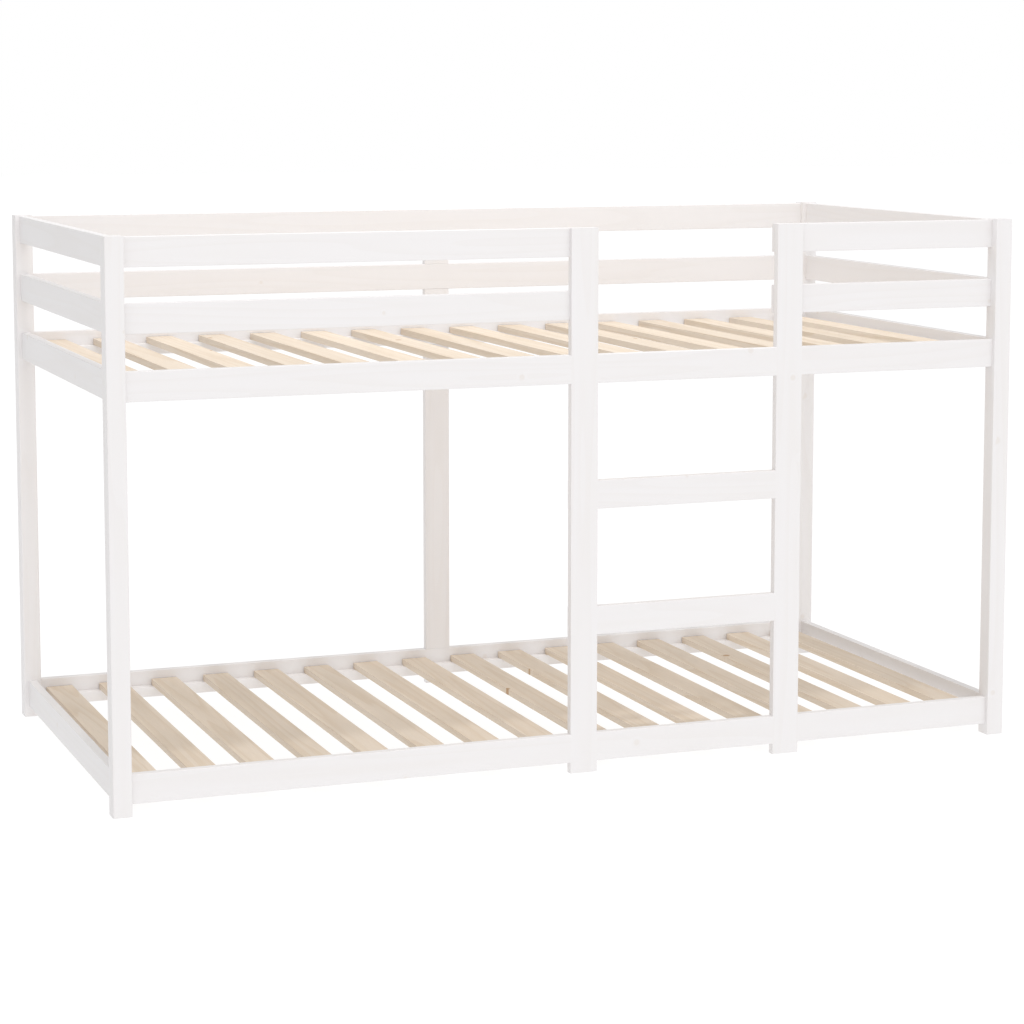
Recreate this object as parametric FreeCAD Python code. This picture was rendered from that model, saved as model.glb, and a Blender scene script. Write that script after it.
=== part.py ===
"""Low bunk bed with a fixed ladder: white painted pine frame, natural wood slats.

The bed is free-standing. Its long side lies along X, the ladder is on the front at -Y, and Z points up.
The origin is on the floor, under the middle of the bed. All sizes are in millimetres.
"""

import FreeCAD, Part
import math
import os

from FreeCAD import Vector

# Overall size
BED_LENGTH = 2070.0
BED_WIDTH = 1000.0
POST_HEIGHT = 1182.0

# Timber sections
POST_SIDE = 40.0
BOARD_WIDTH = 62.0
BOARD_THICKNESS = 19.0
POST_ROUNDING = 2.5
BOARD_ROUNDING = 1.5

# Insets from the outer plane of the posts
RAIL_INSET = (POST_SIDE - BOARD_THICKNESS) / 2
FRONT_GUARD_INSET = POST_SIDE - BOARD_THICKNESS

# Heights of the lower edges of the boards
LOWER_RAIL_Z = 24.0
UPPER_RAIL_Z = 848.0
LOW_GUARD_Z = 984.0
TOP_GUARD_Z = 1118.0
LOWER_RUNG_Z = 302.0
UPPER_RUNG_Z = 576.0

# Ladder: the left upright stands at mid-length, opposite the rear upright
LADDER_LEFT_X = 0.0
LADDER_RIGHT_X = 485.0

# Slats and the ledgers that carry them
SLATS_PER_DECK = 16
SLATS_PER_GROUP = 2
SLAT_PITCH = 126.8
SLAT_WIDTH = 62.0
SLAT_THICKNESS = 15.0
SLAT_END_GAP = 2.0
SLAT_ROUNDING = 1.0
LEDGER_WIDTH = 20.0
LEDGER_HEIGHT = 25.0
LEDGER_LIFT = 2.0
LEDGER_ROUNDING = 1.0

# Wooden dowels
DOWEL_DIAMETER = 8.0
DOWEL_LENGTH = 40.0
END_DOWEL_OFFSET = 20.0
RUNG_DOWEL_OFFSET = 16.0
SIDE_DOWEL_DROP = 8.0
SIDE_DOWEL_IN_POST = 15.0

# Connecting bolts, their cover caps and their barrel nuts
BOLT_DIAMETER = 6.0
BOLT_LENGTH = 68.0
BOLT_HEAD_DIAMETER = 14.0
BOLT_HEAD_HEIGHT = 3.5
BOLT_SOCKET_WIDTH = 4.0
BOLT_SOCKET_DEPTH = 2.0
BOLT_BORE = 6.5
BOLT_BORE_DEPTH = 80.0
COUNTERBORE_DIAMETER = 16.0
COUNTERBORE_DEPTH = 8.0
CAP_THICKNESS = 1.6
CAP_WALL = 1.2
CAP_DEPTH = 4.0
CAP_ROUNDING = 0.6
NUT_DIAMETER = 10.0
NUT_LENGTH = 14.0
NUT_SLOT_WIDTH = 1.5
NUT_SLOT_DEPTH = 1.0
NUT_FROM_RAIL_END = 30.0
SIDE_BOLT_RISE = 10.0

# Countersunk screws
SCREW_DIAMETER = 4.0
SCREW_HEAD_DIAMETER = 8.0
SCREW_HEAD_HEIGHT = 2.5
SCREW_CROSS_WIDTH = 1.0
SCREW_CROSS_LENGTH = 4.5
SCREW_CROSS_DEPTH = 1.2
LAP_SCREW_LENGTH = 15.0
GUARD_SCREW_LENGTH = 26.0
LEDGER_SCREW_LENGTH = 35.0
LAP_SCREW_RISES = (8.0, 22.0)
LAP_SCREW_SIDESTEP = 15.0
GUARD_SCREW_OFFSET = 16.0
LEDGER_SCREWS = 7
LEDGER_SCREW_END_GAP = 85.0

HALF_LENGTH = BED_LENGTH / 2
HALF_WIDTH = BED_WIDTH / 2
POST_INNER_X = HALF_LENGTH - POST_SIDE
POST_INNER_Y = HALF_WIDTH - POST_SIDE
RAIL_CENTRE_Y = HALF_WIDTH - RAIL_INSET - BOARD_THICKNESS / 2
RAIL_INNER_Y = HALF_WIDTH - RAIL_INSET - BOARD_THICKNESS
RAIL_OUTER_Y = HALF_WIDTH - RAIL_INSET
FRONT_GUARD_CENTRE_Y = HALF_WIDTH - FRONT_GUARD_INSET - BOARD_THICKNESS / 2
LEDGER_INNER_Y = RAIL_INNER_Y - LEDGER_WIDTH
END_RAIL_CENTRE_X = HALF_LENGTH - RAIL_INSET - BOARD_THICKNESS / 2
UPRIGHT_TOP = TOP_GUARD_Z + BOARD_WIDTH

X_AXIS = Vector(1, 0, 0)
Y_AXIS = Vector(0, 1, 0)
FORWARD = Vector(0, -1, 0)
FRONT = -1
REAR = 1
LEFT = -1
RIGHT = 1
SIDE_NAMES = {FRONT: "front", REAR: "rear"}
END_NAMES = {LEFT: "left", RIGHT: "right"}
DECKS = {"lower": LOWER_RAIL_Z, "upper": UPPER_RAIL_Z}
GUARDS = {"low": LOW_GUARD_Z, "top": TOP_GUARD_Z}
HEXAGON_SIDES = 6
LENGTH_MATCH = 1e-6

# The front guard rails pass behind the ladder uprights. The rear ones lie in the plane of the rear rails.
GUARD_INSETS = {FRONT: FRONT_GUARD_INSET, REAR: RAIL_INSET}
GUARD_CENTRES_Y = {FRONT: -FRONT_GUARD_CENTRE_Y, REAR: RAIL_CENTRE_Y}
GUARD_JOINT_DEPTHS = {FRONT: BOARD_THICKNESS, REAR: BOARD_THICKNESS / 2}
GUARD_SCREW_LENGTHS = {FRONT: GUARD_SCREW_LENGTH, REAR: LAP_SCREW_LENGTH}

# Screws and barrel nuts go in from the rear, so that none shows from the front. These are the faces they
# enter: the inner ones on the front of the bed and the outer ones on its rear.
RAIL_ENTRY_Y = {FRONT: -RAIL_INNER_Y, REAR: RAIL_OUTER_Y}
GUARD_ENTRY_Y = {FRONT: -POST_INNER_Y, REAR: RAIL_OUTER_Y}
LEDGER_SCREW_ENTRY_Y = {FRONT: -LEDGER_INNER_Y, REAR: RAIL_OUTER_Y}

parts = {}
cutters = {}


def box(x, y, z):
    """A plain block between three (low, high) pairs."""
    return Part.makeBox(x[1] - x[0], y[1] - y[0], z[1] - z[0], Vector(x[0], y[0], z[0]))


def timber(x, y, z, rounding):
    """A block whose four longest edges are rounded, as planed timber is."""
    block = box(x, y, z)
    longest = max(edge.Length for edge in block.Edges)
    long_edges = [edge for edge in block.Edges if abs(edge.Length - longest) < LENGTH_MATCH]
    return block.makeFillet(rounding, long_edges)


def inward(side, half, inset, thickness):
    """The (low, high) pair of a layer that lies inset from the outer plane on one side."""
    outer = half - inset
    inner = outer - thickness
    return (inner, outer) if side > 0 else (-outer, -inner)


def upward(low, height=BOARD_WIDTH):
    """The (low, high) pair of something that stands on a height."""
    return (low, low + height)


def across(centre, width=BOARD_WIDTH):
    """The (low, high) pair of something centred on a place."""
    return (centre - width / 2, centre + width / 2)


def add(name, shape):
    """Register a piece and an empty list for what is cut from it."""
    parts[name] = shape
    cutters[name] = []


def group(name, shapes):
    """Register like pieces that share one node."""
    add(name, Part.makeCompound(shapes))


def cylinder(point, direction, diameter, length):
    """A round rod that starts at a point and runs along a direction."""
    return Part.makeCylinder(diameter / 2, length, point, direction)


def screw(point, length):
    """A countersunk cross-head screw. The point is the middle of its head's flat face."""
    head = Part.makeCone(SCREW_HEAD_DIAMETER / 2, SCREW_DIAMETER / 2, SCREW_HEAD_HEIGHT, point, FORWARD)
    return head.fuse(cylinder(point, FORWARD, SCREW_DIAMETER, length)).removeSplitter()


def cross_recess(point):
    """The cross-shaped recess in a screw's head."""
    y = (point.y - SCREW_CROSS_DEPTH, point.y)
    long_way = across(point.x, SCREW_CROSS_LENGTH)
    narrow_way = across(point.x, SCREW_CROSS_WIDTH)
    upright_arm = box(narrow_way, y, across(point.z, SCREW_CROSS_LENGTH))
    return box(long_way, y, across(point.z, SCREW_CROSS_WIDTH)).fuse(upright_arm)


def make_posts():
    """Four square corner posts."""
    for side, side_name in SIDE_NAMES.items():
        for end, end_name in END_NAMES.items():
            x = inward(end, HALF_LENGTH, 0, POST_SIDE)
            y = inward(side, HALF_WIDTH, 0, POST_SIDE)
            add(f"post_{side_name}_{end_name}", timber(x, y, (0, POST_HEIGHT), POST_ROUNDING))


def make_side_rails():
    """Long rails of both decks, between the posts, with a cross-halving for each upright."""
    for side, side_name in SIDE_NAMES.items():
        y = inward(side, HALF_WIDTH, RAIL_INSET, BOARD_THICKNESS)
        outer_half = inward(side, HALF_WIDTH, RAIL_INSET, BOARD_THICKNESS / 2)
        for deck, low in DECKS.items():
            rail = timber((-POST_INNER_X, POST_INNER_X), y, upward(low), BOARD_ROUNDING)
            for centre in upright_places(side):
                rail = rail.cut(box(across(centre), outer_half, upward(low)))
            add(f"side_rail_{side_name}_{deck}", rail)


def upright_places(side):
    """Where the uprights stand along the bed on one side."""
    return (LADDER_LEFT_X, LADDER_RIGHT_X) if side == FRONT else (LADDER_LEFT_X,)


def make_upright(name, side, centre, halvings, rungs):
    """A board from the floor to the top guard rail, halved over other boards and square-edged at joints."""
    y = inward(side, HALF_WIDTH, RAIL_INSET, BOARD_THICKNESS)
    upright = timber(across(centre), y, (0, UPRIGHT_TOP), BOARD_ROUNDING)
    for low in (*halvings, *rungs):
        upright = upright.fuse(box(across(centre), y, upward(low)))
    upright = upright.removeSplitter()
    inner_half = inward(side, HALF_WIDTH, RAIL_INSET + BOARD_THICKNESS / 2, BOARD_THICKNESS / 2)
    for low in halvings:
        upright = upright.cut(box(across(centre), inner_half, upward(low)))
    add(name, upright)


def make_uprights():
    """Two ladder uprights on the front and one upright in the middle of the rear."""
    rails = tuple(DECKS.values())
    guards = tuple(GUARDS.values())
    rungs = (LOWER_RUNG_Z, UPPER_RUNG_Z)
    make_upright("ladder_upright_left", FRONT, LADDER_LEFT_X, rails, rungs)
    make_upright("ladder_upright_right", FRONT, LADDER_RIGHT_X, rails, rungs)
    make_upright("rear_upright", REAR, LADDER_LEFT_X, rails + guards, ())


def make_guard_rails():
    """Guard rails: rebated behind the ladder uprights on the front, halved into the upright on the rear."""
    stretches = {
        "front_left": (FRONT, (-POST_INNER_X, LADDER_LEFT_X + BOARD_WIDTH / 2)),
        "front_right": (FRONT, (LADDER_RIGHT_X - BOARD_WIDTH / 2, POST_INNER_X)),
        "rear": (REAR, (-POST_INNER_X, POST_INNER_X)),
    }
    for place, (side, x) in stretches.items():
        y = inward(side, HALF_WIDTH, GUARD_INSETS[side], BOARD_THICKNESS)
        upright_layer = inward(side, HALF_WIDTH, RAIL_INSET, GUARD_JOINT_DEPTHS[side])
        for level, low in GUARDS.items():
            rail = timber(x, y, upward(low), BOARD_ROUNDING)
            for centre in upright_places(side):
                rail = rail.cut(box(across(centre), upright_layer, upward(low)))
            add(f"guard_rail_{place}_{level}", rail)


def make_end_rails():
    """Four boards across each end, centred on the posts: two at the decks and two as guards."""
    y = (-POST_INNER_Y, POST_INNER_Y)
    for end, end_name in END_NAMES.items():
        x = inward(end, HALF_LENGTH, RAIL_INSET, BOARD_THICKNESS)
        for deck, low in DECKS.items():
            add(f"end_rail_{end_name}_{deck}", timber(x, y, upward(low), BOARD_ROUNDING))
        for level, low in GUARDS.items():
            add(f"end_guard_{end_name}_{level}", timber(x, y, upward(low), BOARD_ROUNDING))


def make_rungs():
    """Two flat rungs between the ladder uprights, flush with their faces."""
    x = (LADDER_LEFT_X + BOARD_WIDTH / 2, LADDER_RIGHT_X - BOARD_WIDTH / 2)
    y = inward(FRONT, HALF_WIDTH, RAIL_INSET, BOARD_THICKNESS)
    for name, low in (("rung_lower", LOWER_RUNG_Z), ("rung_upper", UPPER_RUNG_Z)):
        add(name, timber(x, y, upward(low), BOARD_ROUNDING))


def make_ledgers():
    """A batten along the foot of each side rail's inner face, on which the slats rest."""
    for side, side_name in SIDE_NAMES.items():
        y = inward(side, RAIL_INNER_Y, 0, LEDGER_WIDTH)
        for deck, low in DECKS.items():
            z = upward(low + LEDGER_LIFT, LEDGER_HEIGHT)
            add(f"ledger_{side_name}_{deck}", timber((-POST_INNER_X, POST_INNER_X), y, z, LEDGER_ROUNDING))


def make_slats():
    """Evenly spaced slats on both decks, in groups along the bed."""
    reach = RAIL_INNER_Y - SLAT_END_GAP
    first = -SLAT_PITCH * (SLATS_PER_DECK - 1) / 2
    for deck, low in DECKS.items():
        z = upward(low + LEDGER_LIFT + LEDGER_HEIGHT, SLAT_THICKNESS)
        for start in range(0, SLATS_PER_DECK, SLATS_PER_GROUP):
            places = [first + SLAT_PITCH * index for index in range(start, start + SLATS_PER_GROUP)]
            slats = [timber(across(x, SLAT_WIDTH), (-reach, reach), z, SLAT_ROUNDING) for x in places]
            group(f"slats_{deck}_{start + 1:02d}_{start + SLATS_PER_GROUP:02d}", slats)


def fit_dowel(dowels, point, direction, names):
    """Add a dowel that fills its hole in the named pieces."""
    dowel = cylinder(point, direction, DOWEL_DIAMETER, DOWEL_LENGTH)
    dowels.append(dowel)
    for name in names:
        cutters[name].append(dowel)


def fit_end_dowels():
    """Two dowels in each joint of an end rail and a post."""
    dowels = []
    levels = [("end_rail", "lower", LOWER_RAIL_Z), ("end_rail", "upper", UPPER_RAIL_Z)]
    levels += [("end_guard", "low", LOW_GUARD_Z), ("end_guard", "top", TOP_GUARD_Z)]
    for end, end_name in END_NAMES.items():
        for side, side_name in SIDE_NAMES.items():
            for kind, level, low in levels:
                names = (f"{kind}_{end_name}_{level}", f"post_{side_name}_{end_name}")
                for offset in (-END_DOWEL_OFFSET, END_DOWEL_OFFSET):
                    y = side * POST_INNER_Y - DOWEL_LENGTH / 2
                    z = low + BOARD_WIDTH / 2 + offset
                    fit_dowel(dowels, Vector(end * END_RAIL_CENTRE_X, y, z), Y_AXIS, names)
    group("end_frame_dowels", dowels)


def fit_side_dowels():
    """One locating dowel in each joint of a side rail and a post."""
    dowels = []
    for side, side_name in SIDE_NAMES.items():
        for end, end_name in END_NAMES.items():
            for deck, low in DECKS.items():
                names = (f"side_rail_{side_name}_{deck}", f"post_{side_name}_{end_name}")
                z = low + BOARD_WIDTH / 2 - SIDE_DOWEL_DROP
                point = Vector(end * (POST_INNER_X + SIDE_DOWEL_IN_POST), side * RAIL_CENTRE_Y, z)
                fit_dowel(dowels, point, X_AXIS * -end, names)
    group("side_rail_dowels", dowels)


def fit_rung_dowels():
    """Two dowels at each end of each rung."""
    dowels = []
    for name, low in (("rung_lower", LOWER_RUNG_Z), ("rung_upper", UPPER_RUNG_Z)):
        joints = {
            "ladder_upright_left": LADDER_LEFT_X + BOARD_WIDTH / 2,
            "ladder_upright_right": LADDER_RIGHT_X - BOARD_WIDTH / 2,
        }
        for upright, joint_x in joints.items():
            for offset in (-RUNG_DOWEL_OFFSET, RUNG_DOWEL_OFFSET):
                z = low + BOARD_WIDTH / 2 + offset
                point = Vector(joint_x - DOWEL_LENGTH / 2, -RAIL_CENTRE_Y, z)
                fit_dowel(dowels, point, X_AXIS, (name, upright))
    group("rung_dowels", dowels)


def hexagon_prism(point, direction, width, depth):
    """A six-sided prism along X, for a socket of a given width across its flats."""
    radius = width / math.sqrt(3)
    corners = []
    for index in range(HEXAGON_SIDES):
        angle = math.tau * index / HEXAGON_SIDES
        corners.append(point + Vector(0, radius * math.cos(angle), radius * math.sin(angle)))
    face = Part.Face(Part.makePolygon([*corners, corners[0]]))
    return face.extrude(direction * depth)


def cover_cap(outer, into):
    """A hollow plug that closes a counterbore along X, flush with the post's face and round-edged."""
    plug = cylinder(outer, into, COUNTERBORE_DIAMETER, CAP_DEPTH)
    rim = [edge for edge in plug.Edges if edge.BoundBox.XLength < LENGTH_MATCH and on_plane(edge, outer.x)]
    hollow_diameter = COUNTERBORE_DIAMETER - 2 * CAP_WALL
    hollow = cylinder(outer + into * CAP_THICKNESS, into, hollow_diameter, CAP_DEPTH - CAP_THICKNESS)
    return plug.makeFillet(CAP_ROUNDING, rim).cut(hollow)


def on_plane(edge, x):
    """Whether an edge lies on the plane at that place along X."""
    return abs(edge.BoundBox.Center.x - x) < LENGTH_MATCH


def fit_bolt(bolts, caps, nuts, end, y, z, nut_entry_y, post, rail):
    """Add a capped bolt through a post into a rail, with a barrel nut let into the rail's face."""
    into = X_AXIS * -end
    outer = Vector(end * HALF_LENGTH, y, z)
    seat = outer + into * COUNTERBORE_DEPTH
    head_top = seat - into * BOLT_HEAD_HEIGHT
    shank = cylinder(seat, into, BOLT_DIAMETER, BOLT_LENGTH)
    head = cylinder(head_top, into, BOLT_HEAD_DIAMETER, BOLT_HEAD_HEIGHT)
    socket = hexagon_prism(head_top, into, BOLT_SOCKET_WIDTH, BOLT_SOCKET_DEPTH)
    bolts.append(shank.fuse(head).removeSplitter().cut(socket))
    caps.append(cover_cap(outer, into))
    nut_mouth = Vector(end * (POST_INNER_X - NUT_FROM_RAIL_END), nut_entry_y, z)
    nut_solid = cylinder(nut_mouth, FORWARD, NUT_DIAMETER, NUT_LENGTH)
    slot_y = (nut_entry_y - NUT_SLOT_DEPTH, nut_entry_y)
    slot = box(across(nut_mouth.x, NUT_SLOT_WIDTH), slot_y, across(z, NUT_DIAMETER))
    nuts.append(nut_solid.cut(shank).cut(slot))
    bore = cylinder(outer, into, BOLT_BORE, BOLT_BORE_DEPTH)
    counterbore = cylinder(outer, into, COUNTERBORE_DIAMETER, COUNTERBORE_DEPTH)
    cutters[post] += [bore, counterbore]
    cutters[rail] += [bore, nut_solid]


def fit_bolts():
    """One bolt, cap and barrel nut in each joint of a side rail or a guard rail and a post."""
    bolts = []
    caps = []
    nuts = []
    guard_places = {(FRONT, LEFT): "front_left", (FRONT, RIGHT): "front_right"}
    for side, side_name in SIDE_NAMES.items():
        for end, end_name in END_NAMES.items():
            post = f"post_{side_name}_{end_name}"
            for deck, low in DECKS.items():
                z = low + BOARD_WIDTH / 2 + SIDE_BOLT_RISE
                rail = f"side_rail_{side_name}_{deck}"
                y = side * RAIL_CENTRE_Y
                fit_bolt(bolts, caps, nuts, end, y, z, RAIL_ENTRY_Y[side], post, rail)
            place = guard_places.get((side, end), "rear")
            for level, low in GUARDS.items():
                z = low + BOARD_WIDTH / 2
                rail = f"guard_rail_{place}_{level}"
                y = GUARD_CENTRES_Y[side]
                fit_bolt(bolts, caps, nuts, end, y, z, GUARD_ENTRY_Y[side], post, rail)
    group("connecting_bolts", bolts)
    group("bolt_caps", caps)
    group("barrel_nuts", nuts)


def fit_screw(screws, point, length, names):
    """Add a screw and cut its hole in the named pieces."""
    solid = screw(point, length)
    screws.append(solid.cut(cross_recess(point)))
    for name in names:
        cutters[name].append(solid)


def fit_lap_screws():
    """Two screws hold each halved joint of an upright and a side rail."""
    screws = []
    uprights = {"ladder_upright_left": FRONT, "ladder_upright_right": FRONT, "rear_upright": REAR}
    places = {"ladder_upright_left": LADDER_LEFT_X, "ladder_upright_right": LADDER_RIGHT_X}
    for upright, side in uprights.items():
        centre = places.get(upright, LADDER_LEFT_X)
        for deck, low in DECKS.items():
            names = (upright, f"side_rail_{SIDE_NAMES[side]}_{deck}")
            for rise, step in zip(LAP_SCREW_RISES, (-LAP_SCREW_SIDESTEP, LAP_SCREW_SIDESTEP)):
                point = Vector(centre + step, RAIL_ENTRY_Y[side], low + BOARD_WIDTH / 2 + rise)
                fit_screw(screws, point, LAP_SCREW_LENGTH, names)
    group("lap_screws", screws)


def fit_guard_screws():
    """Two screws hold each guard rail to each upright that it crosses."""
    screws = []
    crossings = [
        ("front_left", FRONT, "ladder_upright_left", LADDER_LEFT_X),
        ("front_right", FRONT, "ladder_upright_right", LADDER_RIGHT_X),
        ("rear", REAR, "rear_upright", LADDER_LEFT_X),
    ]
    for place, side, upright, centre in crossings:
        for level, low in GUARDS.items():
            names = (upright, f"guard_rail_{place}_{level}")
            for offset in (-GUARD_SCREW_OFFSET, GUARD_SCREW_OFFSET):
                point = Vector(centre, GUARD_ENTRY_Y[side], low + BOARD_WIDTH / 2 + offset)
                fit_screw(screws, point, GUARD_SCREW_LENGTHS[side], names)
    group("guard_screws", screws)


def fit_ledger_screws():
    """A row of screws along each ledger."""
    screws = []
    reach = POST_INNER_X - LEDGER_SCREW_END_GAP
    step = 2 * reach / (LEDGER_SCREWS - 1)
    for side, side_name in SIDE_NAMES.items():
        for deck, low in DECKS.items():
            names = [f"ledger_{side_name}_{deck}", f"side_rail_{side_name}_{deck}"]
            names += crossing_uprights(side)
            z = low + LEDGER_LIFT + LEDGER_HEIGHT / 2
            for index in range(LEDGER_SCREWS):
                point = Vector(-reach + step * index, LEDGER_SCREW_ENTRY_Y[side], z)
                fit_screw(screws, point, LEDGER_SCREW_LENGTH, names)
    group("ledger_screws", screws)


def crossing_uprights(side):
    """The names of the uprights that the side rails of one side cross."""
    return ["ladder_upright_left", "ladder_upright_right"] if side == FRONT else ["rear_upright"]


def cut_holes():
    """Cut every fastener's hole from the pieces that it passes through."""
    for name, tools in cutters.items():
        if tools:
            parts[name] = parts[name].cut(tools)


def export():
    """Write one STEP file for each node."""
    os.makedirs("parts", exist_ok=True)
    for name, shape in parts.items():
        if not shape.isValid():
            raise ValueError(f"{name} isn't a valid shape")
        solids = shape.Solids
        whole = Part.makeCompound(solids) if len(solids) > 1 else solids[0]
        whole.exportStep(f"parts/{name}.step")


make_posts()
make_side_rails()
make_uprights()
make_guard_rails()
make_end_rails()
make_rungs()
make_ledgers()
make_slats()
fit_end_dowels()
fit_side_dowels()
fit_rung_dowels()
fit_bolts()
fit_lap_screws()
fit_guard_screws()
fit_ledger_screws()
cut_holes()
export()
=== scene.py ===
"""Finishes, light and camera for a low bunk bed of white painted pine with natural slats."""

import math

import bpy
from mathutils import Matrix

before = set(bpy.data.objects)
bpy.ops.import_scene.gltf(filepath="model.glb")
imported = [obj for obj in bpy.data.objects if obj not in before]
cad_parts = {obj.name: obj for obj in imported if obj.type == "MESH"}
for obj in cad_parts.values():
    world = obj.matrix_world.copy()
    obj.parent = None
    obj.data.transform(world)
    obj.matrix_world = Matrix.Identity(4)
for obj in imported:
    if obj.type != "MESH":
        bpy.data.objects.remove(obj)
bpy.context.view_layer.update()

bl_info = {
    "name": "Bunk Bed With Ladder",
    "version": (1, 0, 0),
    "blender": (4, 5, 0),
    "location": "View3D > Sidebar > Bunk Bed",
    "description": "Finishes a low bunk bed and sets up its studio",
    "category": "Object",
}

MM = 0.001
MM_PER_METRE = 1000.0

# The curve of sRGB
BYTE_MAX = 255
SRGB_LINEAR_END = 0.04045
SRGB_LINEAR_SLOPE = 12.92
SRGB_OFFSET = 0.055
SRGB_GAMMA = 2.4

# The grain of a board runs along one of the frame's axes. Each turn brings that axis to X.
GRAIN_LENGTHWISE = (0.0, 0.0, 0.0)
GRAIN_CROSSWISE = (0.0, 0.0, -math.pi / 2)
GRAIN_UPRIGHT = (0.0, math.pi / 2, 0.0)

# Slats of both decks stand on one pitch along the bed
SLAT_PITCH_MM = 126.8
DECK_SPLIT_MM = 500.0

# The axis of grain space that lies across a board's width
BOARD_WIDTH_AXIS = 2
SLAT_WIDTH_AXIS = 1

# Pine: how evenly the knots are scattered, and where in a growth ring the latewood begins and peaks
KNOT_SCATTER = 0.85
LATEWOOD_START = 0.35
LATEWOOD_PEAK = 0.95

# How far the knots bend the growth rings, as a part of the field that draws them
BOARD_SWIRL = 0.18
SLAT_SWIRL = 0.22

# Heights in the relief of the wood, where a growth ring counts as one
BOARD_FIBRE_RELIEF = 0.5
SLAT_FIBRE_RELIEF = 0.6
PEBBLE_RELIEF = 0.25

# Sprayed paint dries with a faint pebble, and its sheen wanders to either side of the mean
PEBBLE_MM = 1.25
SHEEN_SPREAD = 0.05

# How far apart in the tree two slats' planks may be taken
PLANK_JUMP_MM = (9000.0, 4000.0, 4000.0)

# Boards by the direction of their grain
LENGTHWISE_BOARDS = (
    "side_rail_front", "side_rail_rear", "guard_rail", "rung_lower", "rung_upper",
    "ledger_front", "ledger_rear")
CROSSWISE_BOARDS = ("end_rail", "end_guard")
UPRIGHT_BOARDS = ("post", "ladder_upright", "rear_upright")
PLATED_FASTENINGS = ("connecting_bolts", "barrel_nuts", "lap_screws", "guard_screws", "ledger_screws")


def linear_channel(value):
    """The linear value of one sRGB channel between 0 and 1."""
    if value <= SRGB_LINEAR_END:
        return value / SRGB_LINEAR_SLOPE
    return ((value + SRGB_OFFSET) / (1 + SRGB_OFFSET)) ** SRGB_GAMMA


def linear(hex_colour):
    """The linear colour, with full alpha, of an sRGB hex value."""
    red, green, blue = (int(hex_colour[start:start + 2], 16) / BYTE_MAX for start in (1, 3, 5))
    return (linear_channel(red), linear_channel(green), linear_channel(blue), 1.0)


def add_node(tree, kind, inputs, **settings):
    """Add a node, give it its settings, then fill each of its inputs with a value or a link."""
    node = tree.nodes.new(kind)
    for name, value in settings.items():
        setattr(node, name, value)
    for key, value in inputs.items():
        if isinstance(value, bpy.types.NodeSocket):
            tree.links.new(value, node.inputs[key])
        else:
            node.inputs[key].default_value = value
    return node


def new_material(name):
    """An empty material with its node tree."""
    material = bpy.data.materials.new(name)
    material.use_nodes = True
    material.node_tree.nodes.clear()
    return material, material.node_tree


def close_material(tree, surface):
    """Send a finished shader to the output."""
    add_node(tree, "ShaderNodeOutputMaterial", {"Surface": surface.outputs["BSDF"]})


def grain_space(tree, turn):
    """Object coordinates in millimetres, turned so that X runs along the grain."""
    place = add_node(tree, "ShaderNodeTexCoord", {})
    to_mm = (MM_PER_METRE, MM_PER_METRE, MM_PER_METRE)
    turned = add_node(tree, "ShaderNodeMapping", {
        "Vector": place.outputs["Object"], "Rotation": turn, "Scale": to_mm})
    return turned.outputs["Vector"]


def in_board_plane(lengthwise, widthwise, width_axis):
    """A vector of grain space with one value along the grain, one across the width and nought in depth."""
    vector = [lengthwise, 0.0, 0.0]
    vector[width_axis] = widthwise
    return tuple(vector)


def knots(tree, space, width_axis, cell, radius, share):
    """Round knots that pass through a board. Returns how far a point is from the nearest knot's heart in
    knot radii, and whether there is a knot there at all."""
    to_cells = in_board_plane(1.0 / cell[0], 1.0 / cell[1], width_axis)
    to_mm = in_board_plane(cell[0], cell[1], width_axis)
    cells = add_node(tree, "ShaderNodeVectorMath", {0: space, 1: to_cells}, operation="MULTIPLY")
    hearts = add_node(tree, "ShaderNodeTexVoronoi", {
        "Vector": cells.outputs["Vector"], "Scale": 1.0, "Randomness": KNOT_SCATTER}, voronoi_dimensions="3D")
    offset = add_node(tree, "ShaderNodeVectorMath", {
        0: cells.outputs["Vector"], 1: hearts.outputs["Position"]}, operation="SUBTRACT")
    offset_mm = add_node(tree, "ShaderNodeVectorMath", {
        0: offset.outputs["Vector"], 1: to_mm}, operation="MULTIPLY")
    away = add_node(tree, "ShaderNodeVectorMath", {0: offset_mm.outputs["Vector"]}, operation="LENGTH")
    chance = add_node(tree, "ShaderNodeSeparateColor", {"Color": hearts.outputs["Color"]})
    size = add_node(tree, "ShaderNodeMapRange", {
        "Value": chance.outputs["Red"], "To Min": radius[0], "To Max": radius[1]})
    in_radii = add_node(tree, "ShaderNodeMath", {
        0: away.outputs["Value"], 1: size.outputs["Result"]}, operation="DIVIDE")
    there = add_node(tree, "ShaderNodeMath", {0: chance.outputs["Green"], 1: share}, operation="LESS_THAN")
    return in_radii.outputs["Value"], there.outputs["Value"]


def masked_fall(tree, value, start, end, mask):
    """One below start, nought past end, and nought wherever the mask is nought."""
    fall = add_node(tree, "ShaderNodeMapRange", {
        "Value": value, "From Min": start, "From Max": end, "To Min": 1.0, "To Max": 0.0},
        interpolation_type="SMOOTHSTEP")
    masked = add_node(tree, "ShaderNodeMath", {0: fall.outputs["Result"], 1: mask}, operation="MULTIPLY")
    return masked.outputs["Value"]


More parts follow.
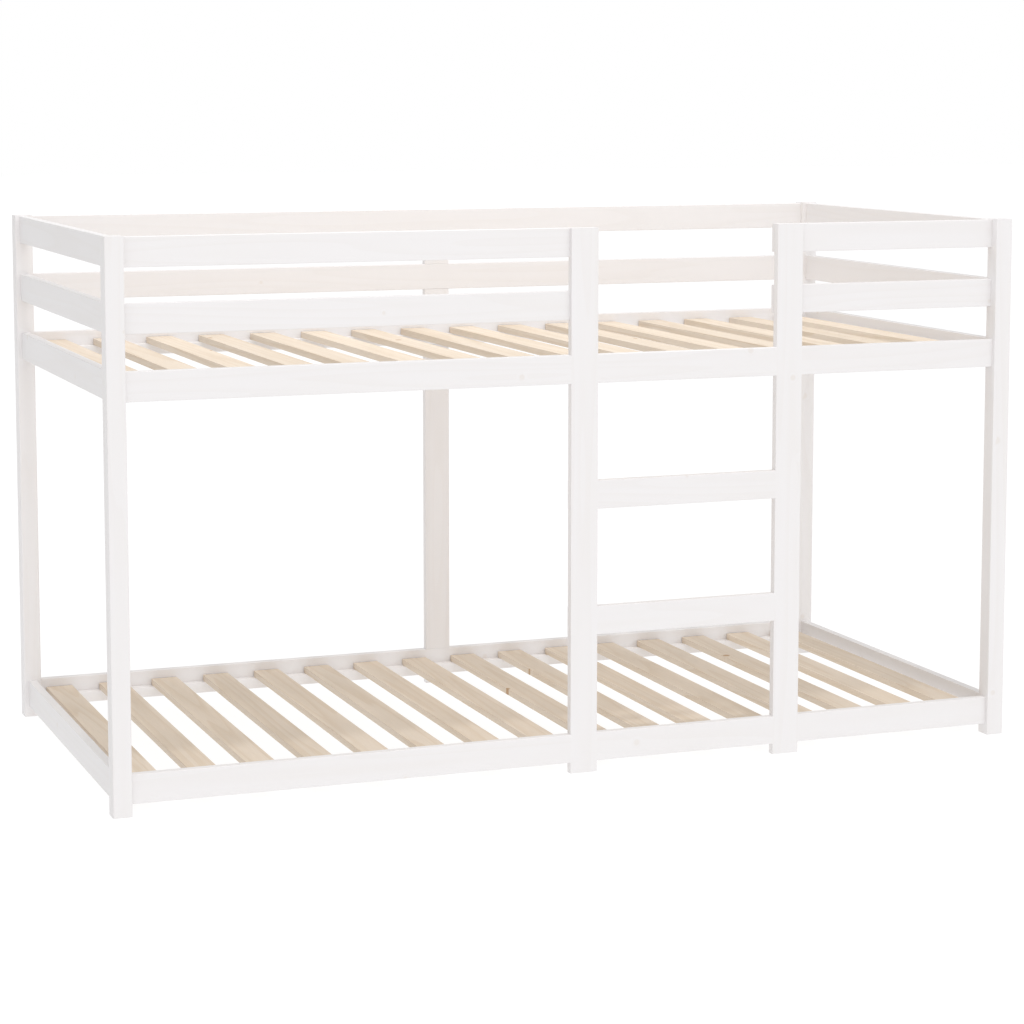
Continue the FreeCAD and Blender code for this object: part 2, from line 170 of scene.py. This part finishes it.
def growth_rings(tree, space, spread, rings, swirl):
    """Flat-sawn growth rings: level lines of a slow field, close together where it is steep, and bent round
    the knots by swirl. Returns 0 in pale earlywood, rising to 1 in the dark latewood that ends each ring.

    Pine grows rings of 2 to 4 mm. They are drawn at about 7 mm, so that they still read from a few metres.
    """
    slow = add_node(tree, "ShaderNodeVectorMath", {
        0: space, 1: (1.0 / spread[0], 1.0 / spread[1], 1.0 / spread[1])}, operation="MULTIPLY")
    field = add_node(tree, "ShaderNodeTexNoise", {
        "Vector": slow.outputs["Vector"], "Scale": 1.0, "Detail": 1.0, "Roughness": 0.35})
    bent = add_node(tree, "ShaderNodeMath", {0: field.outputs["Fac"], 1: swirl}, operation="ADD")
    count = add_node(tree, "ShaderNodeMath", {0: bent.outputs["Value"], 1: rings}, operation="MULTIPLY")
    within = add_node(tree, "ShaderNodeMath", {0: count.outputs["Value"]}, operation="FRACT")
    late = add_node(tree, "ShaderNodeMapRange", {
        "Value": within.outputs["Value"], "From Min": LATEWOOD_START, "From Max": LATEWOOD_PEAK},
        interpolation_type="SMOOTHSTEP")
    soft_end = add_node(tree, "ShaderNodeMapRange", {
        "Value": within.outputs["Value"], "From Min": LATEWOOD_PEAK, "To Min": 1.0, "To Max": 0.0})
    ring = add_node(tree, "ShaderNodeMath", {
        0: late.outputs["Result"], 1: soft_end.outputs["Result"]}, operation="MULTIPLY")
    return ring.outputs["Value"]


def streaks(tree, space, length, width, detail):
    """Noise drawn out along the grain, from its length and width in millimetres."""
    drawn = add_node(tree, "ShaderNodeVectorMath", {
        0: space, 1: (1.0 / length, 1.0 / width, 1.0 / width)}, operation="MULTIPLY")
    noise = add_node(tree, "ShaderNodeTexNoise", {
        "Vector": drawn.outputs["Vector"], "Scale": 1.0, "Detail": detail, "Roughness": 0.6})
    return noise.outputs["Fac"]


def painted_pine(name, turn, look):
    """Scots pine under two thin sprayed coats of white water-based paint, rubbed down between coats.

    The coat is satin and hides the colour of the wood, but not its relief: latewood stands a few hundredths
    of a millimetre proud, and the resin of the knots stains the paint a faint cream.
    """
    material, tree = new_material(name)
    space = grain_space(tree, turn)
    away, there = knots(
        tree, space, BOARD_WIDTH_AXIS, cell=(240.0, 75.0), radius=(3.0, 8.0), share=look.knot_share)
    stain = masked_fall(tree, away, start=0.6, end=1.5, mask=there)
    halo = masked_fall(tree, away, start=0.0, end=3.0, mask=there)
    swirl = add_node(tree, "ShaderNodeMath", {0: halo, 1: BOARD_SWIRL}, operation="MULTIPLY")
    ring = growth_rings(tree, space, spread=(1100.0, 60.0), rings=7.0, swirl=swirl.outputs["Value"])
    fibre = streaks(tree, space, length=45.0, width=1.6, detail=2.0)
    cloud = streaks(tree, space, length=320.0, width=70.0, detail=2.0)
    white = add_node(tree, "ShaderNodeMix", {
        0: cloud, 6: look.paint_colour, 7: look.paint_warm_colour}, data_type="RGBA")
    line_strength = add_node(tree, "ShaderNodeMath", {0: ring, 1: look.grain_show}, operation="MULTIPLY")
    lined = add_node(tree, "ShaderNodeMix", {
        0: line_strength.outputs["Value"], 6: white.outputs[2], 7: look.paint_line_colour}, data_type="RGBA")
    stain_strength = add_node(tree, "ShaderNodeMath", {0: stain, 1: look.knot_show}, operation="MULTIPLY")
    coloured = add_node(tree, "ShaderNodeMix", {
        0: stain_strength.outputs["Value"], 6: lined.outputs[2], 7: look.paint_knot_colour}, data_type="RGBA")
    pebble = add_node(tree, "ShaderNodeTexNoise", {"Vector": space, "Scale": 1.0 / PEBBLE_MM, "Detail": 2.0})
    sheen = add_node(tree, "ShaderNodeMapRange", {
        "Value": cloud,
        "To Min": look.paint_roughness - SHEEN_SPREAD, "To Max": look.paint_roughness + SHEEN_SPREAD})
    fibre_height = add_node(tree, "ShaderNodeMath", {
        0: fibre, 1: BOARD_FIBRE_RELIEF, 2: ring}, operation="MULTIPLY_ADD")
    height = add_node(tree, "ShaderNodeMath", {
        0: pebble.outputs["Fac"], 1: PEBBLE_RELIEF,
        2: fibre_height.outputs["Value"]}, operation="MULTIPLY_ADD")
    relief = add_node(tree, "ShaderNodeBump", {
        "Strength": 0.35, "Distance": 0.12 * MM, "Height": height.outputs["Value"]})
    surface = add_node(tree, "ShaderNodeBsdfPrincipled", {
        "Base Color": coloured.outputs[2], "Roughness": sheen.outputs["Result"], "IOR": 1.5,
        "Normal": relief.outputs["Normal"]})
    close_material(tree, surface)
    return material


def planed_pine(name, look):
    """Scots pine as it leaves the planer: pale earlywood, honey latewood, brown knots and a dry, matt skin.

    Each slat is cut from another plank, so its figure and its tone differ from its neighbours'.
    """
    material, tree = new_material(name)
    space = grain_space(tree, GRAIN_CROSSWISE)
    # A slat is known by its step along the bed and by its deck
    parts = add_node(tree, "ShaderNodeSeparateXYZ", {"Vector": space})
    step = add_node(tree, "ShaderNodeMath", {0: parts.outputs["Y"], 1: SLAT_PITCH_MM}, operation="DIVIDE")
    index = add_node(tree, "ShaderNodeMath", {0: step.outputs["Value"]}, operation="FLOOR")
    deck = add_node(tree, "ShaderNodeMath", {
        0: parts.outputs["Z"], 1: DECK_SPLIT_MM}, operation="GREATER_THAN")
    label = add_node(tree, "ShaderNodeCombineXYZ", {"X": index.outputs["Value"], "Y": deck.outputs["Value"]})
    dice = add_node(tree, "ShaderNodeTexWhiteNoise", {"Vector": label.outputs["Vector"]})
    jump = add_node(tree, "ShaderNodeVectorMath", {
        0: dice.outputs["Color"], 1: PLANK_JUMP_MM}, operation="MULTIPLY")
    plank = add_node(tree, "ShaderNodeVectorMath", {0: space, 1: jump.outputs["Vector"]}, operation="ADD")
    plank_space = plank.outputs["Vector"]
    away, there = knots(
        tree, plank_space, SLAT_WIDTH_AXIS, cell=(300.0, 80.0), radius=(4.0, 9.0), share=look.slat_knot_share)
    heart = masked_fall(tree, away, start=0.75, end=1.1, mask=there)
    halo = masked_fall(tree, away, start=0.0, end=3.2, mask=there)
    rim = masked_fall(tree, away, start=1.0, end=1.35, mask=there)
    swirl = add_node(tree, "ShaderNodeMath", {0: halo, 1: SLAT_SWIRL}, operation="MULTIPLY")
    ring = growth_rings(tree, plank_space, spread=(1500.0, 60.0), rings=8.0, swirl=swirl.outputs["Value"])
    fibre = streaks(tree, plank_space, length=60.0, width=1.3, detail=3.0)
    cloud = streaks(tree, plank_space, length=420.0, width=45.0, detail=2.0)
    ring_strength = add_node(tree, "ShaderNodeMath", {0: ring, 1: look.slat_ring_show}, operation="MULTIPLY")
    ringed = add_node(tree, "ShaderNodeMix", {
        0: ring_strength.outputs["Value"],
        6: look.earlywood_colour, 7: look.latewood_colour}, data_type="RGBA")
    cloud_strength = add_node(tree, "ShaderNodeMapRange", {
        "Value": cloud, "From Min": 0.3, "From Max": 0.7, "To Min": 0.0, "To Max": 0.35})
    clouded = add_node(tree, "ShaderNodeMix", {
        0: cloud_strength.outputs["Result"],
        6: ringed.outputs[2], 7: look.heartwood_colour}, data_type="RGBA")
    rimmed = add_node(tree, "ShaderNodeMix", {
        0: rim, 6: clouded.outputs[2], 7: look.knot_rim_colour}, data_type="RGBA")
    knotted = add_node(tree, "ShaderNodeMix", {
        0: heart, 6: rimmed.outputs[2], 7: look.knot_colour}, data_type="RGBA")
    # Fibres and each plank's own tone change the lightness by a few per cent
    fibre_light = add_node(tree, "ShaderNodeMapRange", {
        "Value": fibre, "From Min": 0.25, "From Max": 0.75, "To Min": 0.93, "To Max": 1.05})
    tone = add_node(tree, "ShaderNodeMapRange", {
        "Value": dice.outputs["Value"], "To Min": 0.95, "To Max": 1.04})
    light = add_node(tree, "ShaderNodeMath", {
        0: fibre_light.outputs["Result"], 1: tone.outputs["Result"]}, operation="MULTIPLY")
    wood = add_node(tree, "ShaderNodeHueSaturation", {
        "Value": light.outputs["Value"], "Color": knotted.outputs[2]})
    matt = add_node(tree, "ShaderNodeMapRange", {"Value": ring, "To Min": 0.6, "To Max": 0.48})
    height = add_node(tree, "ShaderNodeMath", {
        0: fibre, 1: SLAT_FIBRE_RELIEF, 2: ring}, operation="MULTIPLY_ADD")
    relief = add_node(tree, "ShaderNodeBump", {
        "Strength": 0.5, "Distance": 0.15 * MM, "Height": height.outputs["Value"]})
    surface = add_node(tree, "ShaderNodeBsdfPrincipled", {
        "Base Color": wood.outputs["Color"], "Roughness": matt.outputs["Result"], "IOR": 1.5,
        "Normal": relief.outputs["Normal"]})
    close_material(tree, surface)
    return material


def turned_beech(name, turn, look):
    """Steamed beech, turned and fluted: an even pinkish tan with short brown ray flecks along the grain."""
    material, tree = new_material(name)
    space = grain_space(tree, turn)
    # Rays show as dashes about 3 mm long and 0.4 mm wide
    fleck = streaks(tree, space, length=3.0, width=0.4, detail=1.0)
    dash = add_node(tree, "ShaderNodeMapRange", {"Value": fleck, "From Min": 0.58, "From Max": 0.68})
    body = streaks(tree, space, length=60.0, width=3.0, detail=2.0)
    base = add_node(tree, "ShaderNodeMix", {
        0: body, 6: look.beech_colour, 7: look.beech_dark_colour}, data_type="RGBA")
    flecked = add_node(tree, "ShaderNodeMix", {
        0: dash.outputs["Result"], 6: base.outputs[2], 7: look.beech_fleck_colour}, data_type="RGBA")
    relief = add_node(tree, "ShaderNodeBump", {"Strength": 0.3, "Distance": 0.05 * MM, "Height": fleck})
    surface = add_node(tree, "ShaderNodeBsdfPrincipled", {
        "Base Color": flecked.outputs[2], "Roughness": 0.55, "IOR": 1.5, "Normal": relief.outputs["Normal"]})
    close_material(tree, surface)
    return material


def zinc_plate(name, look):
    """Steel with a bright electroplated zinc coat, passivated: a cool grey metal with a faint straw bloom."""
    material, tree = new_material(name)
    space = grain_space(tree, GRAIN_LENGTHWISE)
    # Plating crystals and tumbling marks run to about 1 mm, the bloom to about 6 mm
    bloom = add_node(tree, "ShaderNodeTexNoise", {"Vector": space, "Scale": 0.16, "Detail": 2.0})
    marks = add_node(tree, "ShaderNodeTexNoise", {"Vector": space, "Scale": 1.1, "Detail": 4.0})
    tint = add_node(tree, "ShaderNodeMapRange", {
        "Value": bloom.outputs["Fac"], "From Min": 0.4, "From Max": 0.7}, interpolation_type="SMOOTHSTEP")
    colour = add_node(tree, "ShaderNodeMix", {
        0: tint.outputs["Result"], 6: look.zinc_colour, 7: look.zinc_bloom_colour}, data_type="RGBA")
    rough = add_node(tree, "ShaderNodeMapRange", {
        "Value": marks.outputs["Fac"], "From Min": 0.3, "From Max": 0.7, "To Min": 0.26, "To Max": 0.42})
    relief = add_node(tree, "ShaderNodeBump", {
        "Strength": 0.25, "Distance": 0.03 * MM, "Height": marks.outputs["Fac"]})
    surface = add_node(tree, "ShaderNodeBsdfPrincipled", {
        "Base Color": colour.outputs[2], "Metallic": 1.0, "Roughness": rough.outputs["Result"],
        "Normal": relief.outputs["Normal"]})
    close_material(tree, surface)
    return material


def moulded_polyethylene(name, look):
    """White polyethylene from a spark-eroded mould: a soft, slightly waxy satin with a fine even texture."""
    material, tree = new_material(name)
    space = grain_space(tree, GRAIN_LENGTHWISE)
    # The mould's texture is about 0.5 mm across, and the shrinkage waves about 8 mm
    texture = add_node(tree, "ShaderNodeTexNoise", {"Vector": space, "Scale": 2.0, "Detail": 2.0})
    waves = add_node(tree, "ShaderNodeTexNoise", {"Vector": space, "Scale": 0.12, "Detail": 1.0})
    colour = add_node(tree, "ShaderNodeMix", {
        0: waves.outputs["Fac"], 6: look.cap_colour, 7: look.cap_shade_colour}, data_type="RGBA")
    rough = add_node(tree, "ShaderNodeMapRange", {
        "Value": texture.outputs["Fac"], "To Min": 0.36, "To Max": 0.5})
    relief = add_node(tree, "ShaderNodeBump", {
        "Strength": 0.3, "Distance": 0.03 * MM, "Height": texture.outputs["Fac"]})
    surface = add_node(tree, "ShaderNodeBsdfPrincipled", {
        "Base Color": colour.outputs[2], "Roughness": rough.outputs["Result"], "IOR": 1.51,
        "Normal": relief.outputs["Normal"]})
    close_material(tree, surface)
    return material


def lit_floor(name, stage):
    """Opal acrylic lit from below, as under a product on a shooting table: white, with hardly any shadow."""
    material, tree = new_material(name)
    space = grain_space(tree, GRAIN_LENGTHWISE)
    # The sheet's faint cloudiness is about 400 mm across
    clouds = add_node(tree, "ShaderNodeTexNoise", {"Vector": space, "Scale": 0.0025, "Detail": 3.0})
    colour = add_node(tree, "ShaderNodeMix", {
        0: clouds.outputs["Fac"], 6: stage.floor_colour, 7: stage.floor_cloud_colour}, data_type="RGBA")
    surface = add_node(tree, "ShaderNodeBsdfPrincipled", {
        "Base Color": colour.outputs[2], "Roughness": 0.9, "IOR": 1.49, "Specular IOR Level": 0.1,
        "Emission Color": linear("#FFFFFF"), "Emission Strength": stage.floor_glow})
    close_material(tree, surface)
    return material


def dress(names, material):
    """Give CAD nodes a material in place of their plain one."""
    for name in names:
        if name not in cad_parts:
            raise RuntimeError(f"there is no node named {name}")
        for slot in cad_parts[name].material_slots:
            slot.material = material


def nodes_called(*starts):
    """The names of all CAD nodes that start in one of these ways."""
    found = sorted(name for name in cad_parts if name.startswith(starts))
    if not found:
        raise RuntimeError(f"no node starts with {starts}")
    return found


def far_light(name, height, strength, softness):
    """A round light far away in front of the bed, at an angle above the floor."""
    bpy.ops.object.light_add(type="SUN", rotation=(math.pi / 2 - height, 0.0, 0.0))
    light = bpy.context.object
    light.name = name
    light.data.energy = strength
    light.data.angle = softness


def colour_property(name, description, hex_colour):
    """A colour that a user can change, from its sRGB hex value."""
    return bpy.props.FloatVectorProperty(
        name=name, description=description, subtype="COLOR", size=4, min=0.0, max=1.0,
        default=linear(hex_colour))


class BedFinishSettings(bpy.types.PropertyGroup):
    """Colours and strengths of the bed's finishes."""

    paint_colour: colour_property("Paint", "Colour of the white paint", "#EAE8E9")
    paint_warm_colour: colour_property(
        "Paint, thin", "The paint where it lies thinner over the wood", "#E8E5E4")
    paint_line_colour: colour_property("Paint on latewood", "The paint along the growth rings", "#DFD9D4")
    paint_knot_colour: colour_property("Paint on knots", "The paint where resin has stained it", "#DAD0C5")
    paint_roughness: bpy.props.FloatProperty(
        name="Paint roughness", description="Sheen of the paint, lower for glossier",
        default=0.42, min=0.1, max=0.9)
    grain_show: bpy.props.FloatProperty(
        name="Grain through paint", description="How far growth rings show through the paint",
        subtype="FACTOR", default=0.12, min=0.0, max=1.0)
    knot_show: bpy.props.FloatProperty(
        name="Knots through paint", description="How far knots show through the paint",
        subtype="FACTOR", default=0.3, min=0.0, max=1.0)
    knot_share: bpy.props.FloatProperty(
        name="Painted knots", description="Share of places along a board that hold a knot",
        subtype="FACTOR", default=0.25, min=0.0, max=1.0)
    earlywood_colour: colour_property("Earlywood", "Pale part of the slats' growth rings", "#E2D4C3")
    latewood_colour: colour_property("Latewood", "Dark part of the slats' growth rings", "#D2BCA0")
    heartwood_colour: colour_property("Heartwood", "Warmer clouds along the slats", "#DAC8B1")
    knot_colour: colour_property("Knot", "Heart of a knot in a slat", "#B8946F")
    knot_rim_colour: colour_property("Knot rim", "Ring of bark and resin around a knot", "#C6A884")
    slat_ring_show: bpy.props.FloatProperty(
        name="Slat grain", description="Contrast of the slats' growth rings",
        subtype="FACTOR", default=0.5, min=0.0, max=1.0)
    slat_knot_share: bpy.props.FloatProperty(
        name="Slat knots", description="Share of places along a slat that hold a knot",
        subtype="FACTOR", default=0.06, min=0.0, max=1.0)
    beech_colour: colour_property("Beech", "Pale part of the dowels", "#D8B68E")
    beech_dark_colour: colour_property("Beech, dark", "Darker part of the dowels", "#C69C70")
    beech_fleck_colour: colour_property("Beech flecks", "Ray flecks of the dowels", "#8F6038")
    zinc_colour: colour_property("Zinc", "Plating of bolts, nuts and screws", "#C9CCCF")
    zinc_bloom_colour: colour_property("Zinc bloom", "Straw tint in the plating", "#CFC9B4")
    cap_colour: colour_property("Caps", "Moulded caps over the bolts", "#EDEBEA")
    cap_shade_colour: colour_property("Caps, shaded", "The caps where the plastic is thinner", "#E6E3E1")


class BedStageSettings(bpy.types.PropertyGroup):
    """Floor, light and camera."""

    floor_size: bpy.props.FloatProperty(
        name="Floor size", description="Side of the square floor", subtype="DISTANCE", unit="LENGTH",
        default=80.0, min=5.0)
    floor_colour: colour_property("Floor", "Colour of the acrylic by reflected light", "#6C6C6C")
    floor_cloud_colour: colour_property("Floor clouds", "The acrylic's faint second tone", "#686868")
    floor_glow: bpy.props.FloatProperty(
        name="Floor glow", description="Light that comes up through the floor", default=0.9, min=0.0)
    sky_strength: bpy.props.FloatProperty(
        name="Dome strength", description="Even white light from all round", default=0.62, min=0.0)
    backdrop_strength: bpy.props.FloatProperty(
        name="Backdrop", description="Brightness of the bare backdrop in the picture", default=1.0, min=0.0)
    key_strength: bpy.props.FloatProperty(
        name="Key strength", description="Light from high in front, per square metre", default=0.5, min=0.0)
    key_height: bpy.props.FloatProperty(
        name="Key height", description="Angle of the key light above the floor",
        subtype="ANGLE", unit="ROTATION", default=math.radians(72.0))
    key_softness: bpy.props.FloatProperty(
        name="Key softness", description="Angle that the key light fills as seen from the bed",
        subtype="ANGLE", unit="ROTATION", default=math.radians(5.0))
    fill_strength: bpy.props.FloatProperty(
        name="Fill strength", description="Soft light from low in front, per square metre",
        default=1.0, min=0.0)
    fill_height: bpy.props.FloatProperty(
        name="Fill height", description="Angle of the soft front light above the floor",
        subtype="ANGLE", unit="ROTATION", default=math.radians(12.0))
    fill_softness: bpy.props.FloatProperty(
        name="Fill softness", description="Angle that the soft front light fills as seen from the bed",
        subtype="ANGLE", unit="ROTATION", default=math.radians(100.0))
    overhead_power: bpy.props.FloatProperty(
        name="Overhead", description="Power of the soft panel over the bed", subtype="POWER", unit="POWER",
        default=42.0, min=0.0)
    overhead_size: bpy.props.FloatProperty(
        name="Overhead size", description="Side of the soft panel over the bed", subtype="DISTANCE",
        unit="LENGTH", default=2.5, min=0.1)
    overhead_height: bpy.props.FloatProperty(
        name="Overhead height", description="Height of the soft panel above the floor", subtype="DISTANCE",
        unit="LENGTH", default=3.4, min=0.1)
    camera_place: bpy.props.FloatVectorProperty(
        name="Camera", description="Where the camera stands", subtype="TRANSLATION", unit="LENGTH", size=3,
        default=(-2.1737, -5.7836, 1.4726))
    camera_yaw: bpy.props.FloatProperty(
        name="Camera heading", description="Turn of the view from straight ahead towards the right end",
        subtype="ANGLE", unit="ROTATION", default=math.radians(20.766))
    camera_pitch: bpy.props.FloatProperty(
        name="Camera pitch", description="Tilt of the view below the horizon",
        subtype="ANGLE", unit="ROTATION", default=math.radians(6.348))
    camera_lens: bpy.props.FloatProperty(
        name="Focal length", description="Focal length of the camera", subtype="DISTANCE_CAMERA",
        default=94.85)
    camera_rise: bpy.props.FloatProperty(
        name="Vertical shift", description="Shift of the lens, in picture widths", default=-0.12)


class BUNKBED_OT_paint_frame(bpy.types.Operator):
    """Paint the posts, rails, guard rails, uprights, rungs and ledgers"""

    bl_idname = "bunkbed.paint_frame"
    bl_label = "Paint the Frame"

    def execute(self, context):
        look = context.scene.bunkbed_finish
        lengthwise = painted_pine("Painted pine, grain along the bed", GRAIN_LENGTHWISE, look)
        crosswise = painted_pine("Painted pine, grain across the bed", GRAIN_CROSSWISE, look)
        upright = painted_pine("Painted pine, upright grain", GRAIN_UPRIGHT, look)
        dress(nodes_called(*LENGTHWISE_BOARDS), lengthwise)
        dress(nodes_called(*CROSSWISE_BOARDS), crosswise)
        dress(nodes_called(*UPRIGHT_BOARDS), upright)
        return {"FINISHED"}


class BUNKBED_OT_finish_slats(bpy.types.Operator):
    """Leave the slats of both decks as planed natural pine"""

    bl_idname = "bunkbed.finish_slats"
    bl_label = "Finish the Slats"

    def execute(self, context):
        dress(nodes_called("slats"), planed_pine("Planed pine, bare", context.scene.bunkbed_finish))
        return {"FINISHED"}


class BUNKBED_OT_finish_dowels(bpy.types.Operator):
    """Make the dowels turned beech, each set with its grain along the dowels"""

    bl_idname = "bunkbed.finish_dowels"
    bl_label = "Finish the Dowels"

    def execute(self, context):
        look = context.scene.bunkbed_finish
        across = turned_beech("Turned beech, across the bed", GRAIN_CROSSWISE, look)
        dress(["end_frame_dowels"], across)
        along = turned_beech("Turned beech, along the bed", GRAIN_LENGTHWISE, look)
        dress(["side_rail_dowels", "rung_dowels"], along)
        return {"FINISHED"}


class BUNKBED_OT_plate_fastenings(bpy.types.Operator):
    """Plate the bolts, barrel nuts and screws with bright zinc"""

    bl_idname = "bunkbed.plate_fastenings"
    bl_label = "Plate the Fastenings"

    def execute(self, context):
        plating = zinc_plate("Zinc-plated steel, bright", context.scene.bunkbed_finish)
        dress(PLATED_FASTENINGS, plating)
        return {"FINISHED"}


class BUNKBED_OT_mould_caps(bpy.types.Operator):
    """Make the bolt caps white moulded polyethylene"""

    bl_idname = "bunkbed.mould_caps"
    bl_label = "Mould the Bolt Caps"

    def execute(self, context):
        plastic = moulded_polyethylene("Polyethylene, moulded satin", context.scene.bunkbed_finish)
        dress(["bolt_caps"], plastic)
        return {"FINISHED"}


class BUNKBED_OT_set_stage(bpy.types.Operator):
    """Lay the floor, hang the lights and place the camera"""

    bl_idname = "bunkbed.set_stage"
    bl_label = "Set the Stage"

    def execute(self, context):
        scene = context.scene
        stage = scene.bunkbed_stage
        bpy.ops.mesh.primitive_plane_add(size=stage.floor_size)
        floor = context.object
        floor.name = "floor"
        floor.data.materials.append(lit_floor("Opal acrylic, lit from below", stage))

        world = bpy.data.worlds.new("white_dome")
        world.use_nodes = True
        tree = world.node_tree
        tree.nodes.clear()
        # The bare backdrop is lit apart from the bed, so it is brighter than the light that it gives
        ray = add_node(tree, "ShaderNodeLightPath", {})
        strength = add_node(tree, "ShaderNodeMix", {
            0: ray.outputs["Is Camera Ray"],
            2: stage.sky_strength, 3: stage.backdrop_strength}, data_type="FLOAT")
        dome = add_node(tree, "ShaderNodeBackground", {
            "Color": linear("#FFFFFF"), "Strength": strength.outputs[0]})
        add_node(tree, "ShaderNodeOutputWorld", {"Surface": dome.outputs["Background"]})
        scene.world = world

        far_light("key_light", stage.key_height, stage.key_strength, stage.key_softness)
        far_light("front_fill", stage.fill_height, stage.fill_strength, stage.fill_softness)
        bpy.ops.object.light_add(type="AREA", location=(0.0, 0.0, stage.overhead_height))
        overhead = context.object
        overhead.name = "overhead_panel"
        overhead.data.size = stage.overhead_size
        overhead.data.energy = stage.overhead_power

        tilt = (math.pi / 2 - stage.camera_pitch, 0.0, -stage.camera_yaw)
        bpy.ops.object.camera_add(location=stage.camera_place, rotation=tilt)
        camera = context.object
        camera.name = "camera"
        camera.data.lens = stage.camera_lens
        camera.data.shift_y = stage.camera_rise
        scene.camera = camera
        scene.view_settings.view_transform = "Standard"
        return {"FINISHED"}


class BUNKBED_PT_panel(bpy.types.Panel):
    """Bunk bed tools"""

    bl_idname = "BUNKBED_PT_panel"
    bl_label = "Bunk Bed"
    bl_space_type = "VIEW_3D"
    bl_region_type = "UI"
    bl_category = "Bunk Bed"

    def draw(self, context):
        layout = self.layout
        for operator in OPERATORS:
            layout.operator(operator.bl_idname)
        for group in (context.scene.bunkbed_finish, context.scene.bunkbed_stage):
            box = layout.box()
            for name in group.bl_rna.properties.keys():
                if name not in ("rna_type", "name"):
                    box.prop(group, name)


OPERATORS = (
    BUNKBED_OT_paint_frame,
    BUNKBED_OT_finish_slats,
    BUNKBED_OT_finish_dowels,
    BUNKBED_OT_plate_fastenings,
    BUNKBED_OT_mould_caps,
    BUNKBED_OT_set_stage,
)
CLASSES = (BedFinishSettings, BedStageSettings, *OPERATORS, BUNKBED_PT_panel)


def register():
    """Register the classes and hang the settings on the scene."""
    for cls in CLASSES:
        bpy.utils.register_class(cls)
    bpy.types.Scene.bunkbed_finish = bpy.props.PointerProperty(type=BedFinishSettings)
    bpy.types.Scene.bunkbed_stage = bpy.props.PointerProperty(type=BedStageSettings)


def unregister():
    """Take the settings off the scene and unregister the classes."""
    del bpy.types.Scene.bunkbed_stage
    del bpy.types.Scene.bunkbed_finish
    for cls in reversed(CLASSES):
        bpy.utils.unregister_class(cls)


def main():
    """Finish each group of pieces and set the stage."""
    register()
    bpy.ops.object.select_all(action="DESELECT")
    bpy.ops.bunkbed.paint_frame()
    bpy.ops.bunkbed.finish_slats()
    bpy.ops.bunkbed.finish_dowels()
    bpy.ops.bunkbed.plate_fastenings()
    bpy.ops.bunkbed.mould_caps()
    bpy.ops.bunkbed.set_stage()


if __name__ == "__main__":
    main()
